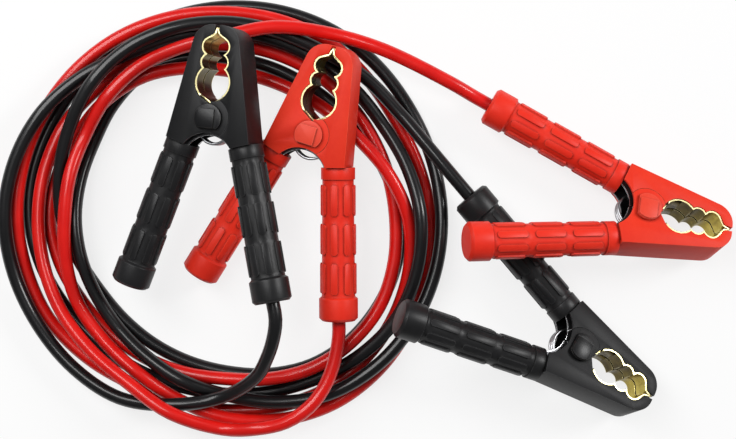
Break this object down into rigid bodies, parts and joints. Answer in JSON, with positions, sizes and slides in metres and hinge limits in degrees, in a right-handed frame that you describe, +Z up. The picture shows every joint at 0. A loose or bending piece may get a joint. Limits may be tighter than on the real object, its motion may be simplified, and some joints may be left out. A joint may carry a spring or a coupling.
{
  "type": "booster cable set",
  "caption": "Red and black booster cables in a loose coil, each with an insulated spring clamp on both ends.",
  "frame": {"origin": "on the surface that the set lies on, under the middle of the box round the four clamps", "axes": "+X towards the jaws of the two right-hand clamps, +Y away from the front, +Z up from the surface"},
  "size_m": [0.5327, 0.3181, 0.0861],
  "materials": {
    "red_shell": "satin moulded red plastic",
    "red_grip": "satin soft red plastic",
    "red_cap": "satin moulded red plastic",
    "black_shell": "satin moulded charcoal plastic",
    "black_grip": "satin soft black plastic",
    "black_cap": "gloss moulded black plastic",
    "red_jacket": "glossy flexible red PVC",
    "black_jacket": "glossy flexible black PVC",
    "steel": "zinc-plated steel",
    "contact": "yellow-passivated contact strip with worn bright edges",
    "crimp": "tinned brass barrel",
    "copper": "bare stranded copper"
  },
  "bodies": {
    "root": {"red_a_shell_fixed": "red_shell", "red_a_lever_fixed": "steel", "red_a_contact_fixed": "contact", "red_a_grip_fixed": "red_grip", "red_a_rivet": "steel", "red_a_caps": "red_cap", "red_a_spring": "steel", "red_a_crimp": "crimp", "red_a_conductor": "copper", "red_b_shell_fixed": "red_shell", "red_b_lever_fixed": "steel", "red_b_contact_fixed": "contact", "red_b_grip_fixed": "red_grip", "red_b_rivet": "steel", "red_b_caps": "red_cap", "red_b_spring": "steel", "red_b_crimp": "crimp", "red_b_conductor": "copper", "black_a_shell_fixed": "black_shell", "black_a_lever_fixed": "steel", "black_a_contact_fixed": "contact", "black_a_grip_fixed": "black_grip", "black_a_rivet": "steel", "black_a_caps": "black_cap", "black_a_spring": "steel", "black_a_crimp": "crimp", "black_a_conductor": "copper", "black_b_shell_fixed": "black_shell", "black_b_lever_fixed": "steel", "black_b_contact_fixed": "contact", "black_b_grip_fixed": "black_grip", "black_b_rivet": "steel", "black_b_caps": "black_cap", "black_b_spring": "steel", "black_b_crimp": "crimp", "black_b_conductor": "copper", "red_coil": "red_jacket", "red_lead_a": "red_jacket", "red_lead_b": "red_jacket", "black_coil": "black_jacket", "black_lead_a": "black_jacket", "black_lead_b": "black_jacket"},
    "red_a_jaw": {"red_a_shell_moving": "red_shell", "red_a_lever_moving": "steel", "red_a_contact_moving": "contact", "red_a_grip_moving": "red_grip"},
    "red_b_jaw": {"red_b_shell_moving": "red_shell", "red_b_lever_moving": "steel", "red_b_contact_moving": "contact", "red_b_grip_moving": "red_grip"},
    "black_a_jaw": {"black_a_shell_moving": "black_shell", "black_a_lever_moving": "steel", "black_a_contact_moving": "contact", "black_a_grip_moving": "black_grip"},
    "black_b_jaw": {"black_b_shell_moving": "black_shell", "black_b_lever_moving": "steel", "black_b_contact_moving": "contact", "black_b_grip_moving": "black_grip"}
  },
  "joints": [
    {"name": "red_a_hinge", "type": "hinge", "parent": "root", "child": "red_a_jaw", "pos_m": [-0.0787, 0.0651, 0.0405], "axis": [-0.2174, -0.0653, 0.9739], "range_deg": [0, 28], "stiffness_Nm_per_rad": 1.5, "springref_deg": -28.65, "deforming": ["red_a_spring"]},
    {"name": "red_b_hinge", "type": "hinge", "parent": "root", "child": "red_b_jaw", "pos_m": [0.1566, 0.008, 0.0317], "axis": [-0.2074, -0.3619, -0.9088], "range_deg": [0, 28], "stiffness_Nm_per_rad": 1.5, "springref_deg": -28.65, "deforming": ["red_b_spring"]},
    {"name": "black_a_hinge", "type": "hinge", "parent": "root", "child": "black_a_jaw", "pos_m": [-0.1463, 0.0747, 0.0615], "axis": [-0.2951, -0.0125, 0.9554], "range_deg": [0, 28], "stiffness_Nm_per_rad": 1.5, "springref_deg": -28.65, "deforming": ["black_a_spring"]},
    {"name": "black_b_hinge", "type": "hinge", "parent": "root", "child": "black_b_jaw", "pos_m": [0.1079, -0.091, 0.0306], "axis": [-0.3338, -0.2767, -0.9011], "range_deg": [0, 28], "stiffness_Nm_per_rad": 1.5, "springref_deg": -28.65, "deforming": ["black_b_spring"]}
  ]
}
